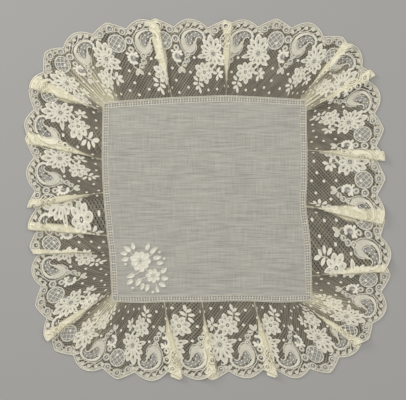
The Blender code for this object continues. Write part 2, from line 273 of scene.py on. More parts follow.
def thread_grain_group():
    """Fine spun threads on a surface: lines both ways across it, thick and thin in places."""
    group = bpy.data.node_groups.new("thread_grain", "ShaderNodeTree")
    for name, way, kind in (
        ("Cloth", "INPUT", "NodeSocketVector"),
        ("Thread pitch", "INPUT", "NodeSocketFloat"),
        ("Slub length", "INPUT", "NodeSocketFloat"),
        ("Height", "OUTPUT", "NodeSocketFloat"),
        ("Slubs", "OUTPUT", "NodeSocketFloat"),
    ):
        group.interface.new_socket(name, in_out=way, socket_type=kind)
    nodes = group.nodes
    links = group.links
    inputs = nodes.new("NodeGroupInput").outputs
    outputs = nodes.new("NodeGroupOutput").inputs
    split = nodes.new("ShaderNodeSeparateXYZ")
    links.new(inputs["Cloth"], split.inputs[0])
    rounds = []
    slubs = []
    for axis in (0, 1):
        count = math_node(group, "DIVIDE", split.outputs[axis], inputs["Thread pitch"])
        rounds.append(math_node(group, "PINGPONG", count, 0.5))
        short_way = math_node(group, "DIVIDE", split.outputs[axis], SLUB_WIDTHS[axis])
        long_way = math_node(group, "DIVIDE", split.outputs[1 - axis], inputs["Slub length"])
        stretch = nodes.new("ShaderNodeCombineXYZ")
        for socket, value in zip(stretch.inputs, (short_way, long_way, SLUB_SHIFT * axis)):
            feed(group, socket, value)
        noise = nodes.new("ShaderNodeTexNoise")
        noise.inputs["Scale"].default_value = 1.0
        noise.inputs["Detail"].default_value = 3.0
        noise.inputs["Roughness"].default_value = 0.65
        links.new(stretch.outputs[0], noise.inputs["Vector"])
        slubs.append(noise.outputs["Fac"])
    links.new(math_node(group, "ADD", *rounds), outputs["Height"])
    mixed = nodes.new("ShaderNodeMix")
    mixed.inputs["Factor"].default_value = SECOND_WAY_SHARE
    links.new(slubs[0], mixed.inputs["A"])
    links.new(slubs[1], mixed.inputs["B"])
    links.new(map_range(group, mixed.outputs["Result"], SLUB_CONTRAST), outputs["Slubs"])
    return group


thread_grain = thread_grain_group()


def cloth_material(name, light, shade, coordinates, pitch, slub_length, bump, roughness=0.8):
    """Matt spun cloth. Its colour drifts between two tones along thick and thin threads.

    The pattern follows the object's own coordinates, or the UV map that is named. Its nodes
    "place", "grain" and "tone" are found by name where a finish adds to them.
    """
    material = bpy.data.materials.new(name)
    material.use_nodes = True
    tree = material.node_tree
    nodes = tree.nodes
    shader = nodes["Principled BSDF"]
    for socket, value in (
        ("Roughness", roughness),
        ("Sheen Weight", 0.25),
        ("Sheen Roughness", 0.5),
        ("Specular IOR Level", 0.25),
    ):
        shader.inputs[socket].default_value = value
    if coordinates == "object":
        place = nodes.new("ShaderNodeTexCoord")
        spot = place.outputs["Object"]
    else:
        place = nodes.new("ShaderNodeUVMap")
        place.uv_map = coordinates
        spot = place.outputs["UV"]
    place.name = "place"
    grain = nodes.new("ShaderNodeGroup")
    grain.name = "grain"
    grain.node_tree = thread_grain
    grain.inputs["Thread pitch"].default_value = pitch
    grain.inputs["Slub length"].default_value = slub_length
    tree.links.new(spot, grain.inputs["Cloth"])
    tone = mix_colours(tree, grain.outputs["Slubs"], shade, light)
    tone.node.name = "tone"
    tree.links.new(tone, shader.inputs["Base Color"])
    relief = nodes.new("ShaderNodeBump")
    relief.inputs["Strength"].default_value = bump
    relief.inputs["Distance"].default_value = 0.0002
    tree.links.new(grain.outputs["Height"], relief.inputs["Height"])
    tree.links.new(relief.outputs["Normal"], shader.inputs["Normal"])
    return material


batiste = cloth_material(
    "batiste", BATISTE_COLOUR, BATISTE_SHADE, "object", pitch=0.00042, slub_length=0.024, bump=0.35
)
batiste.node_tree.nodes["Principled BSDF"].inputs["Alpha"].default_value = BATISTE_COVER

centre_inset = PIECE_GAP + INSERTION_WIDTH + PIECE_GAP
cloth_inset = centre_inset - HEM_REACH
cut_edge = cloth_inset + CUT_EDGE_INSET
edges = [side_line(side, cut_edge, 0.0, BATISTE_STEPS) for side in range(4)]
top_edge, right_edge, bottom_edge, left_edge = edges
right_edge = right_edge[::-1]
bottom_edge = bottom_edge[::-1]
work_mesh = bmesh.new()
grid = bmesh.ops.create_grid(work_mesh, x_segments=BATISTE_STEPS, y_segments=BATISTE_STEPS, size=1.0)
for vertex in grid["verts"]:
    column = round((vertex.co.x + 1) / 2 * BATISTE_STEPS)
    row = round((vertex.co.y + 1) / 2 * BATISTE_STEPS)
    right = column / BATISTE_STEPS
    up = row / BATISTE_STEPS
    spot = (
        bottom_edge[column] * (1 - up)
        + top_edge[column] * up
        + left_edge[row] * (1 - right)
        + right_edge[row] * right
        - bottom_edge[0] * (1 - up) * (1 - right)
        - bottom_edge[-1] * (1 - up) * right
        - top_edge[0] * up * (1 - right)
        - top_edge[-1] * up * right
    )
    # Low uneven ripples, and a trace of the folds that it was pressed in.
    ripple = math.sin(spot.x / 17 + 1.3 * math.sin(spot.y / 41)) * math.sin(spot.y / 23 + 0.6)
    for fold in pressed_folds:
        ripple += fold.share * math.exp(-((spot[fold.axis] - fold.place) / fold.width) ** 2)
    vertex.co = Vector((spot.x, spot.y, BATISTE_REST + BATISTE_RIPPLE * ripple))
scale_to_metres(work_mesh)
centre_piece = finish_piece("batiste_square", work_mesh, batiste, ["centre_cloth"])

work_mesh = bmesh.new()
hem_line = []
for side in range(4):
    hem_line += side_line(side, cloth_inset + HEM_WIDTH / 2, 0.0, HEM_STEPS)[:-1]
hem_path = [(point.x, point.y, BATISTE_REST) for point in hem_line]
rolled_cord(work_mesh, hem_path, HEM_WIDTH / 2, HEM_HEIGHT / 2, sides=8, closed=True, beads=0.04)
scale_to_metres(work_mesh)
hem_cloth = cloth_material(
    "rolled_hem", BATISTE_COLOUR, BATISTE_SHADE, "object", pitch=0.0005, slub_length=0.01, bump=0.4
)
hem_piece = finish_piece("rolled_hem", work_mesh, hem_cloth, ["centre_cloth"])

# Ladder insertion, or entre-deux. Four lengths of machine-made ladder, two rows of small
# square holes between three cords, mitred at the corners and whipped to the hem and the lace.
LADDER_REST = 0.62
CORD_STEP = 0.8
RUNG_PITCH = 2.75
RUNG_WIDTH = 0.9
RUNG_HALF_HEIGHT = 0.22
RUNG_ARCH = 0.05
RUNG_LEAN = 0.12
RUNG_UNEVENNESS = 0.25
LADDER_COLOUR = (0.88, 0.84, 0.70, 1.0)
LADDER_SHADE = (0.62, 0.57, 0.44, 1.0)
LadderCord = namedtuple("LadderCord", "inset half_width half_height")
ladder_cords = (
    LadderCord(0.35, 0.42, 0.42),
    LadderCord(2.75, 0.26, 0.32),
    LadderCord(4.95, 0.26, 0.32),
)
ladder_thread = cloth_material(
    "ladder_thread", LADDER_COLOUR, LADDER_SHADE, "object", pitch=0.0005, slub_length=0.006, bump=0.5
)
rung_length = ladder_cords[-1].inset - ladder_cords[0].inset
for side, side_name in enumerate(side_names):
    work_mesh = bmesh.new()
    chain = side_chains[side]
    length = sum((end - start).length for start, end in zip(chain, chain[1:]))
    for row in ladder_cords:
        line = side_line(side, PIECE_GAP + row.inset, 0.0, int(length / CORD_STEP))
        path = [(point.x, point.y, LADDER_REST) for point in line]
        rolled_cord(work_mesh, path, row.half_width, row.half_height, sides=5, beads=0.12)
    rungs = int((length - 2 * INSERTION_WIDTH) / RUNG_PITCH)
    outer = side_line(side, PIECE_GAP + ladder_cords[0].inset, rung_length, rungs)
    inner = side_line(side, PIECE_GAP + ladder_cords[-1].inset, 0.0, rungs)
    for index in range(rungs + 1):
        lean = RUNG_LEAN * math.sin(index * 2.3 + side)
        start = Vector((*outer[index], LADDER_REST - RUNG_ARCH))
        end = Vector((*inner[index], LADDER_REST - RUNG_ARCH))
        middle = start.lerp(end, 0.5) + (end - start).orthogonal().normalized() * lean
        middle.z = start.z + RUNG_ARCH
        half_width = RUNG_WIDTH / 2 * (1 + RUNG_UNEVENNESS * math.sin(index * 1.7 + 2 * side))
        rolled_cord(work_mesh, [start, middle, end], half_width, RUNG_HALF_HEIGHT, sides=5)
    scale_to_metres(work_mesh)
    node = f"insertion_{side_name}"
    finish_piece(f"ladder_{side_name}", work_mesh, ladder_thread, [node])

# The net ground of the lace edging. One length of fine diamond net, joined into a ring and
# gathered on round the insertion. It is longer than the edge it is sewn to, so it folds over.
LACE_WIDTH = 82.0
PATTERN_REPEATS = 23
FIRST_MEDALLION = 50.8
SCALLOP_DEPTH = 0.105
POINTED_SCALLOP = 1.15
ROUND_SCALLOP = 1.9
FIRST_SCALLOP = 28.9
FOLD_TAPER = 1.6
HEADING_SHARE = 0.25
LACE_REST = 0.45
LAYER_PITCH = 1.5
WALL_ROW = 0.14
FLAT_ROW = 0.42
RIDGE_HEIGHT = 1.3
GATHER_PITCH = 5.2
GATHER_SPREAD = 19.0
GATHER_REACH = 1.06
PLEAT_HEIGHT = 0.75
RIPPLE_HEIGHT = 0.12
RIPPLE_PITCH = 4.1
NET_COLUMN_LENGTH = 1.4
NET_ROWS = 26
SCALLOPS_FROM = 0.7
SEAM_REACH = 0.00002

# Columns of a fold from its centre along the unfolded lace: a share of the fold's width plus a
# length, and the height in layers where it stands up and where it lies flat.
FoldColumn = namedtuple("FoldColumn", "widths length wall_layers flat_layers")
fold_columns = (
    FoldColumn(-1.5, -8.5, 0.0, 0.0),
    FoldColumn(-1.5, -5.0, 1.0, 1.0),
    FoldColumn(-1.5, -1.5, 2.0, 2.0),
    FoldColumn(-0.5, -1.2, 2.0, 2.0),
    FoldColumn(-0.5, 0.0, 1.7, 1.5),
    FoldColumn(-0.5, 1.2, 1.3, 1.0),
    FoldColumn(0.5, -1.2, 0.7, 1.0),
    FoldColumn(0.5, 0.0, 0.3, 0.5),
    FoldColumn(0.5, 1.2, 0.0, 0.0),
)
outer_ring = outer_line + outer_line[:1]
outer_steps = [(end - start).length for start, end in zip(outer_ring, outer_ring[1:])]
outer_lengths = np.concatenate(([0.0], np.cumsum(outer_steps)))
edge_length = outer_lengths[-1]
lines_round = np.array([[*heading, *outer] for heading, outer in zip(heading_line, outer_line)])
lines_round = np.concatenate((lines_round, lines_round[:1]))
Fold = namedtuple("Fold", "centre width facing")
Ridge = namedtuple("Ridge", "centre width")
folds = []
ridges = []
folded_knots = []
gathered_knots = []
hidden_length = 0.0
for index, line in enumerate(lay_lines):
    place = outer_lengths[index * LINE_STEPS]
    if line.form in ("clockwise", "counter"):
        centre = place + line.width + hidden_length
        hidden_length += 2 * line.width
        reach = 1.5 * line.width
        folds.append(Fold(centre, line.width, 1 if line.form == "clockwise" else -1))
        folded_knots.append((centre - line.width / 2, place + line.width / 2))
        folded_knots.append((centre + line.width / 2, place - line.width / 2))
        gathered_knots.append((centre - reach, place - reach * HEADING_SHARE))
        gathered_knots.append((centre + reach, place + reach * HEADING_SHARE))
    elif line.form in ("ridge", "corner"):
        ridges.append(Ridge(place + hidden_length, line.width))
strip_length = edge_length + hidden_length
repeat_length = strip_length / PATTERN_REPEATS


def read_round(knots, along):
    """Values between (place, value) knots that go on for ever round the ring."""
    places = np.array([place for place, value in knots])
    values = np.array([value for place, value in knots])
    turns = np.floor(along / strip_length)
    places = np.concatenate((places - strip_length, places, places + strip_length))
    values = np.concatenate((values - edge_length, values, values + edge_length))
    return np.interp(along - turns * strip_length, places, values) + turns * edge_length


def from_centre(along, centre):
    """How far places lie from a centre, the shorter way round the ring."""
    return (along - centre + strip_length / 2) % strip_length - strip_length / 2


def scallop_edge(along):
    """Share of the lace's width that its edge reaches, on pointed and round scallops in turn."""
    scallop, share = np.divmod(2 * (along - FIRST_SCALLOP) / repeat_length, 1.0)
    roundness = np.where(scallop % 2 == 0, POINTED_SCALLOP, ROUND_SCALLOP)
    return 1 - SCALLOP_DEPTH * np.abs(2 * share - 1) ** roundness


def corner_gather(along, across):
    """How tightly the lace is gathered, most of all at the heading in the corners."""
    gather = np.zeros_like(along)
    for ridge in ridges:
        offset = from_centre(along, ridge.centre)
        gather = np.maximum(gather, np.exp(-((offset / GATHER_SPREAD) ** 2)))
    return gather * np.clip(GATHER_REACH - across, 0, 1) ** 2


def lace_pleats(along, across):
    """Small pleats that fan out from the corners, where the lace is gathered most tightly."""
    wave = 0.5 + 0.5 * np.sin(2 * math.pi * along / GATHER_PITCH + 1.6 * np.sin(along / 8.3))
    return corner_gather(along, across) * wave ** 1.5 * (0.75 + 0.25 * np.sin(along / 2.9))


def lace_surface(along, across):
    """Points of the folded lace for places along and across it, in millimetres."""
    opening = 1 - (1 - across) ** FOLD_TAPER
    gathered = read_round(gathered_knots, along)
    folded = read_round(folded_knots, along)
    place = ((1 - opening) * gathered + opening * folded) % edge_length
    ends = [np.interp(place, outer_lengths, lines_round[:, axis]) for axis in range(4)]
    x = ends[0] + (ends[2] - ends[0]) * across
    y = ends[1] + (ends[3] - ends[1]) * across
    flatness = np.clip((across - WALL_ROW) / (FLAT_ROW - WALL_ROW), 0, 1)
    rise = np.clip(across / WALL_ROW, 0, 1)
    layers = np.zeros_like(along)
    for fold in folds:
        offset = from_centre(along, fold.centre) * fold.facing
        knots = [column.widths * fold.width + column.length for column in fold_columns]
        wall = np.interp(offset, knots, [column.wall_layers for column in fold_columns])
        flat = np.interp(offset, knots, [column.flat_layers for column in fold_columns])
        layers += rise * (wall + flatness * (flat - wall))
    for ridge in ridges:
        share = np.clip(1 - np.abs(from_centre(along, ridge.centre)) / (ridge.width / 2), 0, 1)
        layers += rise * share * (1 - across) * RIDGE_HEIGHT / LAYER_PITCH
    ripple = 1 + np.sin(2 * math.pi * along / RIPPLE_PITCH + 2 * np.sin(along / 37))
    ripple *= RIPPLE_HEIGHT * np.exp(-across / 0.25)
    z = LACE_REST + LAYER_PITCH * layers + rise * (ripple + PLEAT_HEIGHT * lace_pleats(along, across))
    return np.stack((x, y, z), axis=1)


PLEAT_CROWDING = 2.4
GATHER_CROWDING = 0.25
FOLD_ROOT = 0.12
FOLD_SPREAD = 0.55
FOLD_SOFTNESS = 0.08


def lace_crowding(along, across):
    """From 0 on the open net to 1 where it lies three layers deep or is tightly gathered."""
    crowding = PLEAT_CROWDING * lace_pleats(along, across)
    crowding = np.clip(crowding + GATHER_CROWDING * corner_gather(along, across), 0, 1)
    spread = np.clip(FOLD_ROOT + across / FOLD_SPREAD, 0, 1)
    for fold in folds:
        offset = np.abs(from_centre(along, fold.centre)) / (1.5 * fold.width)
        folded = np.clip(1 + (spread - offset) / FOLD_SOFTNESS, 0, 1)
        crowding = np.maximum(crowding, folded * (0.5 + 0.5 * spread))
    return crowding


NEAR_ALONG = 0.35
NEAR_ACROSS = 0.01


def lay_on_lace(along, across, lift):
    """As lace_surface, with each point lifted square to the cloth's own face."""
    across = np.clip(across, 0.0, 1.0)
    here = lace_surface(along, across)
    ahead = lace_surface(along + NEAR_ALONG, across) - lace_surface(along - NEAR_ALONG, across)
    further = np.minimum(across + NEAR_ACROSS, 1.0)
    out = lace_surface(along, further) - lace_surface(along, across - NEAR_ACROSS)
    faces = np.cross(ahead, out)
    faces /= np.maximum(np.linalg.norm(faces, axis=1), 1e-9)[:, None]
    return here + faces * lift[:, None]


def lay_mesh(work_mesh, along, across, lift, border):
    """Lay a flat mesh on the lace, and note on it what its finish needs.

    Its UV map holds metres along and across the lace. Its values are how crowded the lace is,
    how far it is raised, and how far it lies inside the border of close toile.
    """
    uv_layer = work_mesh.loops.layers.uv.new("cloth")
    work_mesh.verts.index_update()
    for face in work_mesh.faces:
        for loop in face.loops:
            index = loop.vert.index
            loop[uv_layer].uv = (along[index] * MM, across[index] * LACE_WIDTH * MM)
    for name, values in (
        ("crowding", lace_crowding(along, across)),
        ("raised", lift),
        ("border", border),
    ):
        layer = work_mesh.verts.layers.float.new(name)
        for vertex, value in zip(work_mesh.verts, values):
            vertex[layer] = value
    for vertex, spot in zip(work_mesh.verts, lay_on_lace(along, across, lift) * MM):
        vertex.co = spot


# The close toile along the scalloped edge: its inner border curves in round each of the rings
# over a medallion, and in small waves between the feathers over a paisley.
RINGS_FROM = -21.9
RINGS_MIDDLE = -2.6
RING_SPACING = 11.6
RING_BORDER = 73.4
RING_BORDER_SLOPE = 0.36
RING_BORDER_WAVE = 2.6
FEATHERS_MIDDLE = 32.0
FEATHER_SPACING = 6.4
FEATHER_BORDER = 3.4
FEATHER_BORDER_WAVE = 1.6
RING_BORDER_MIDDLE = -3.7
RING_BORDER_HALF = 16.8
BORDER_CHANGE = 2.4


def border_depth(along, across):
    """Millimetres outward from the inner border of the close toile."""
    x = (along - FIRST_MEDALLION - RINGS_FROM) % repeat_length + RINGS_FROM
    ring_wave = np.cos(math.pi * (x - RINGS_MIDDLE) / RING_SPACING) ** 2
    ringed = RING_BORDER - RING_BORDER_SLOPE * np.abs(x - RINGS_MIDDLE) - RING_BORDER_WAVE * ring_wave
    feather_wave = np.cos(math.pi * (x - FEATHERS_MIDDLE) / FEATHER_SPACING) ** 2
    feathered = scallop_edge(along) * LACE_WIDTH - FEATHER_BORDER - FEATHER_BORDER_WAVE * feather_wave
    share = np.clip((np.abs(x - RING_BORDER_MIDDLE) - RING_BORDER_HALF) / BORDER_CHANGE, 0, 1)
    return across * LACE_WIDTH - (ringed + (feathered - ringed) * share)


columns = list(np.arange(0.0, strip_length, NET_COLUMN_LENGTH))
for fold in folds:
    for column in fold_columns:
        offset = fold.facing * (column.widths * fold.width + column.length)
        columns.append((fold.centre + offset) % strip_length)
columns = np.array(sorted(columns) + [strip_length])
work_mesh = bmesh.new()
bmesh.ops.create_grid(work_mesh, x_segments=len(columns) - 1, y_segments=NET_ROWS, size=1.0)
flat = np.array([vertex.co[:] for vertex in work_mesh.verts])
along = columns[np.rint((flat[:, 0] + 1) / 2 * (len(columns) - 1)).astype(int)]
across = (flat[:, 1] + 1) / 2
outer_part = np.clip((across - SCALLOPS_FROM) / (1 - SCALLOPS_FROM), 0, 1)
across = across * (1 - (1 - scallop_edge(along)) * outer_part)
lay_mesh(work_mesh, along, across, np.zeros_like(along), border_depth(along, across))
seam = [vertex for vertex, place in zip(work_mesh.verts, along) if place in (0.0, strip_length)]
bmesh.ops.remove_doubles(work_mesh, verts=seam, dist=SEAM_REACH)

# Openings in the net and toile, measured along the lace from a medallion's centre and across
# it from the heading.
Opening = namedtuple("Opening", "along across radius")
net_openings = (
    Opening(0.0, 59.2, 8.6),
    Opening(-7.6, 50.6, 2.3),
    Opening(-14.2, 70.8, 2.1),
    Opening(-2.6, 75.0, 2.1),
    Opening(9.0, 70.8, 2.1),
    Opening(13.6, 61.0, 1.9),
    Opening(12.8, 51.6, 0.9),
    Opening(12.6, 42.6, 2.9),
    Opening(24.2, 44.8, 1.7),
    Opening(22.9, 38.8, 1.6),
    Opening(19.2, 34.4, 1.2),
    Opening(54.8, 45.3, 2.3),
    Opening(29.2, 55.4, 1.9),
    Opening(28.6, 58.8, 2.6),
    Opening(30.2, 62.6, 2.9),
    Opening(33.8, 65.2, 2.9),
    Opening(38.0, 65.6, 2.7),
    Opening(41.4, 63.8, 2.1),
)
# Patches of net in the border of close toile, measured the same way.
border_windows = (
    Opening(-8.6, 73.0, 1.4),
    Opening(-8.2, 76.2, 0.9),
    Opening(3.6, 73.0, 1.4),
    Opening(3.0, 76.4, 0.9),
    Opening(-18.4, 71.6, 1.0),
    Opening(13.6, 70.4, 1.1),
)
FIRST_OPENING = -15.0

# The net's threads cross both ways at a slant. The thread itself is cream; here the thin threads
# are painted near black and every other one lighter, as painted shade standing for the shade in and
# under the net. The gaps between them and the openings let the light through.
NET_PITCH = 0.00132
THREAD_SHARES = (0.28, 0.33)
LIGHT_THREAD_SHARES = (0.31, 0.21)
LIGHT_THREAD_TONE = 0.66
STREAK_SCALE = (0.45, 0.06, 1.0)
STREAK_CONTRAST = (0.35, 0.65)
STREAK_TONES = (-0.18, 0.24)
# Both net tones are darkened below the thread's own cream, as painted shade.
NET_COLOUR = (0.37, 0.33, 0.242, 1.0)
NET_SHADE = (0.045, 0.038, 0.026, 1.0)
FOLDED_NET = (0.78, 0.725, 0.52, 1.0)
TOILE_COLOUR = (0.82, 0.785, 0.66, 1.0)
TOILE_SHADE = (0.36, 0.33, 0.25, 1.0)
FOLDED_TOILE = (0.88, 0.83, 0.64, 1.0)


def attribute_value(tree, name):
    node = tree.nodes.new("ShaderNodeAttribute")
    node.attribute_name = name
    return node.outputs["Fac"]


def layered_colour(tree, open_tone, crowded):
    """Where the lace lies folded or gathered, its finish turns to that of many layers."""
    return mix_colours(tree, attribute_value(tree, "crowding"), open_tone, crowded)


def separated(tree, vector):
    node = tree.nodes.new("ShaderNodeSeparateXYZ")
    tree.links.new(vector, node.inputs[0])
    return node.outputs


def mapped(tree, vector, scale, turn=0.0):
    node = tree.nodes.new("ShaderNodeMapping")
    node.inputs["Rotation"].default_value = (0.0, 0.0, turn)
    node.inputs["Scale"].default_value = scale
    tree.links.new(vector, node.inputs["Vector"])
    return node.outputs[0]


net_thread = cloth_material(
    "net_thread", NET_COLOUR, NET_SHADE, "cloth", pitch=0.0003, slub_length=0.02, bump=0.2
)
net_tree = net_thread.node_tree
net_shader = net_tree.nodes["Principled BSDF"].inputs
lace_place = net_tree.nodes["place"].outputs["UV"]
slanted = mapped(net_tree, lace_place, (1 / NET_PITCH, 1 / NET_PITCH, 1.0), math.radians(45))
thread_share = map_range(net_tree, attribute_value(net_tree, "crowding"), (0.0, 1.0), THREAD_SHARES)
threads = []
light_threads = []
for way, light_share in zip(separated(net_tree, slanted), LIGHT_THREAD_SHARES):
    from_thread = math_node(net_tree, "PINGPONG", way, 0.5)
    threads.append(math_node(net_tree, "LESS_THAN", from_thread, thread_share))
    from_light_thread = math_node(net_tree, "PINGPONG", way, 1.0)
    light_threads.append(math_node(net_tree, "LESS_THAN", from_light_thread, light_share))
any_thread = math_node(net_tree, "MAXIMUM", *threads)
any_light_thread = math_node(net_tree, "MAXIMUM", *light_threads)
net_cover = math_node(net_tree, "MAXIMUM", any_thread, any_light_thread)

streaks = net_tree.nodes.new("ShaderNodeTexNoise")
streaks.inputs["Scale"].default_value = 1.0
net_tree.links.new(mapped(net_tree, slanted, STREAK_SCALE), streaks.inputs["Vector"])
streak_tone = map_range(net_tree, streaks.outputs[0], STREAK_CONTRAST, STREAK_TONES)
net_tone = net_tree.nodes["tone"]
# Painted shade: the thin threads take the near-black NET_SHADE and the light threads a share of
# NET_COLOUR, with streaks across.
tone_share = math_node(net_tree, "MULTIPLY_ADD", any_light_thread, LIGHT_THREAD_TONE, streak_tone)
net_tree.links.new(tone_share, net_tone.inputs["Factor"])

lace_ways = separated(net_tree, lace_place)
first_opening = (FIRST_MEDALLION + FIRST_OPENING) * MM
from_first = math_node(net_tree, "SUBTRACT", lace_ways[0], first_opening)
in_repeat = math_node(net_tree, "FLOORED_MODULO", from_first, repeat_length * MM)
repeat_place = net_tree.nodes.new("ShaderNodeCombineXYZ")
net_tree.links.new(in_repeat, repeat_place.inputs[0])
net_tree.links.new(lace_ways[1], repeat_place.inputs[1])


def cut_circles(mask, circles):
    """Take round openings out of a mask, at their places in every repeat of the lace."""
    for circle in circles:
        centre = ((circle.along - FIRST_OPENING) * MM, circle.across * MM, 0.0)
        distance = net_tree.nodes.new("ShaderNodeVectorMath")
        distance.operation = "DISTANCE"
        distance.inputs[1].default_value = centre
        net_tree.links.new(repeat_place.outputs[0], distance.inputs[0])
        outside = math_node(net_tree, "GREATER_THAN", distance.outputs["Value"], circle.radius * MM)
        mask = math_node(net_tree, "MULTIPLY", mask, outside)
    return mask


in_border = math_node(net_tree, "GREATER_THAN", attribute_value(net_tree, "border"), 0.0)
close_toile = cut_circles(in_border, border_windows)
net_slubs = net_tree.nodes["grain"].outputs["Slubs"]
toile_tone = mix_colours(net_tree, net_slubs, TOILE_SHADE, TOILE_COLOUR)
net_look = layered_colour(net_tree, net_tone.outputs["Result"], FOLDED_NET)
toile_look = layered_colour(net_tree, toile_tone, FOLDED_TOILE)
lace_look = mix_colours(net_tree, close_toile, net_look, toile_look)
net_tree.links.new(lace_look, net_shader["Base Color"])
cover = math_node(net_tree, "MAXIMUM", net_cover, close_toile)
net_tree.links.new(cut_circles(cover, net_openings), net_shader["Alpha"])
net_piece = finish_piece("lace_net", work_mesh, net_thread, ["lace_edging"])

# The pattern of the lace, worked in close toile and outlined with thicker threads. Each
# repeat has a lattice medallion, a paisley, a large and a small flower, and leaf sprays.
TOILE_LIFT = 0.10
TOILE_SHADE_HEIGHTS = (0.12, 0.48)
SLUB_TONE = 0.3
OUTLINE_HEIGHT = 0.45
OUTLINE_INSETS = (0.13, 0.2)
PETAL_INSIDE = 0.67
PETAL_TAPER = 0.3
PETAL_OVERLAP = 0.15
Petal = namedtuple("Petal", "from_x from_y to_x to_y width taper point", defaults=(0.2, 0.4))
Ring = namedtuple("Ring", "x y radius half_width start sweep", defaults=(0, 360))
Ray = namedtuple("Ray", "turn reach width")
Bend = namedtuple("Bend", "x y half_width")
toile = cloth_material(
    "toile", TOILE_COLOUR, TOILE_SHADE, "cloth", pitch=0.00045, slub_length=0.004, bump=0.6
)
tree = toile.node_tree
# Painted shade: the toile's colour runs from TOILE_SHADE where it lies low to TOILE_COLOUR where it is
# raised, by each vertex's height. The raised outlines are of denser thread, so this is partly their
# own colour and partly painted shade in the low middles of the petals and bowls.
height_shade_share = map_range(tree, attribute_value(tree, "raised"), TOILE_SHADE_HEIGHTS, (0.1, 1.0))
slubs = tree.nodes["grain"].outputs["Slubs"]
tone = tree.nodes["tone"]
tone_share = math_node(tree, "MULTIPLY_ADD", slubs, SLUB_TONE, height_shade_share)
tree.links.new(tone_share, tone.inputs["Factor"])
worked_look = layered_colour(tree, tone.outputs["Result"], FOLDED_TOILE)
tree.links.new(worked_look, tree.nodes["Principled BSDF"].inputs["Base Color"])
worked_mesh = bmesh.new()


def work_petal(petal, height=OUTLINE_HEIGHT, segments=12, slit=0.0, middle=0.35):
    """A petal or leaf of close toile with a raised outline, from its root to its tip.

    Its middle lies at a share of the outline's height. A slit, as a share of its size, may be
    left open there, where the net shows through. As the other stitches below do, it adds to
    the mesh that is being worked.
    """
    root = Vector((petal.from_x, petal.from_y, 0.0))
    tip = Vector((petal.to_x, petal.to_y, 0.0))
    turn = math.atan2(tip.y - root.y, tip.x - root.x)
    disc = bmesh.ops.create_circle(worked_mesh, cap_ends=True, radius=1.0, segments=segments)
    face = disc["verts"][0].link_faces[0]
    made = set(disc["verts"])
    for thickness in (*OUTLINE_INSETS, PETAL_INSIDE - slit) if slit else OUTLINE_INSETS:
        bmesh.ops.inset_individual(worked_mesh, faces=[face], thickness=thickness)
        made.update(face.verts)
    if slit:
        bmesh.ops.delete(worked_mesh, geom=[face], context="FACES_ONLY")
    made = list(made)
    for vertex in made:
        reach = vertex.co.length
        vertex.co.z = 0.0 if reach > 0.95 else height if reach > 0.8 else height * middle
        narrowed = 1 - petal.point * max(vertex.co.x, 0) ** 2
        vertex.co.y *= (1 + petal.taper * vertex.co.x) * narrowed
    sizes = Matrix.Diagonal(((tip - root).length / 2, petal.width / 2, 1.0, 1.0))
    place = Matrix.Translation((root + tip) / 2) @ Matrix.Rotation(turn, 4, "Z") @ sizes
    bmesh.ops.transform(worked_mesh, matrix=place, verts=made)


def work_dot(x, y, radius, height=0.6):
    dot = Petal(x - radius, y, x + radius, y, 1.8 * radius, 0.0, 0.0)
    work_petal(dot, height, segments=8, middle=1.0)


def work_flower(x, y, inner, rays, slit):
    """Petals set round a centre, every other one a little higher than its neighbours."""
    for index, ray in enumerate(rays):
        turn = math.radians(ray.turn)
        ends = [
            (x + distance * math.cos(turn), y + distance * math.sin(turn))
            for distance in (inner, ray.reach)
        ]
        height = OUTLINE_HEIGHT + PETAL_OVERLAP * (index % 2)
        work_petal(Petal(*ends[0], *ends[1], ray.width, PETAL_TAPER), height, slit=slit)


def work_ring(ring, height=0.5, steps=14):
    """A round or part-round band of toile or thread."""
    closed = ring.sweep == 360
    count = steps if closed else steps + 1
    points = []
    for index in range(count):
        turn = math.radians(ring.start + ring.sweep * index / steps)
        x = ring.x + ring.radius * math.cos(turn)
        y = ring.y + ring.radius * math.sin(turn)
        points.append((x, y, 0.0))
    rolled_cord(worked_mesh, points, ring.half_width, height / 2, closed=closed)


def work_stem(points, half_width=0.5, height=0.45):
    rolled_cord(worked_mesh, [(x, y, 0.0) for x, y in points], half_width, height / 2)


def work_scroll(origin_x, origin_y, bends, height=0.6):
    """A tapering curl of toile through a few bends."""
    points = [(origin_x + bend.x, origin_y + bend.y, 0.0) for bend in bends]
    widths = [bend.half_width for bend in bends]
    rolled_cord(worked_mesh, points, widths, height / 2, sides=6)


# The medallion: a round rim with a lattice of bars both ways.
MEDALLION = (0.0, 59.2)
MEDALLION_RADIUS = 9.0
LATTICE_PITCH = 4.2
work_ring(Ring(*MEDALLION, MEDALLION_RADIUS, 0.85), height=0.7, steps=30)
for way in (1, -1):
    for step in range(-2, 2):
        offset = (step + 0.45) * LATTICE_PITCH
        half = math.sqrt(MEDALLION_RADIUS ** 2 - offset ** 2)
        points = []
        for share in (-1, -0.6, -0.2, 0.2, 0.6, 1):
            x = (share * half - way * offset) / math.sqrt(2)
            y = (way * share * half + offset) / math.sqrt(2)
            points.append((MEDALLION[0] + x, MEDALLION[1] + y))
        work_stem(points, half_width=0.6, height=0.6)
work_dot(MEDALLION[0] + 1.5, MEDALLION[1] - 2.7, 1.7)

